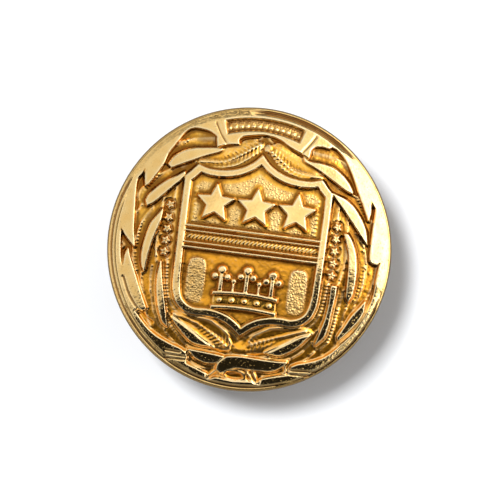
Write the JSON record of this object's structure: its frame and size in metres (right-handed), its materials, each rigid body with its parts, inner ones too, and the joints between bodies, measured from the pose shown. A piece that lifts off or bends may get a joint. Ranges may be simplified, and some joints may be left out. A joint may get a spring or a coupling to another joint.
{
  "type": "cap badge",
  "caption": "Round domed gilt cap badge with a laurel wreath, shield and blank scroll struck in relief, held by a knurled nut on a screw post.",
  "frame": {"origin": "on the screw post's axis, in the plane of the back plate's outer face, where the badge lies against the cap", "axes": "+Z out of the badge's face towards the viewer, -Z along the screw post, +Y to the top of the badge, +X to the viewer's right"},
  "size_m": [0.028, 0.028, 0.0122],
  "materials": {
    "gilt_face": "gilt, satin raised work over a polished ground",
    "pressed_board": "matte grey-brown pressed fibre board",
    "plated_steel": "dull zinc plate",
    "back_brass": "lacquered sheet brass, lightly brushed",
    "post_brass": "turned brass",
    "disc_brass": "pressed brass, satin",
    "nut_brass": "turned and knurled brass, gilt"
  },
  "bodies": {
    "badge": {"face_shell": "gilt_face", "filler_disc": "pressed_board", "stiffener_disc": "plated_steel", "back_plate": "back_brass", "screw_post": "post_brass", "locating_pins": "post_brass"},
    "washer": {"clamping_disc": "disc_brass"},
    "nut": {"thumb_nut": "nut_brass"}
  },
  "joints": [
    {"name": "nut_travel", "type": "slide", "parent": "badge", "child": "washer", "axis": [0, 0, -1], "range_m": [-0.0004, 0.008]},
    {"name": "nut_turn", "type": "hinge", "parent": "washer", "child": "nut", "pos_m": [0, 0, -0.0055], "axis": [0, 0, -1], "range_deg": [-288, 5760]}
  ],
  "couplings": [
    {"joint": "nut_turn", "follows": "nut_travel", "rad_per_m": 12566}
  ]
}
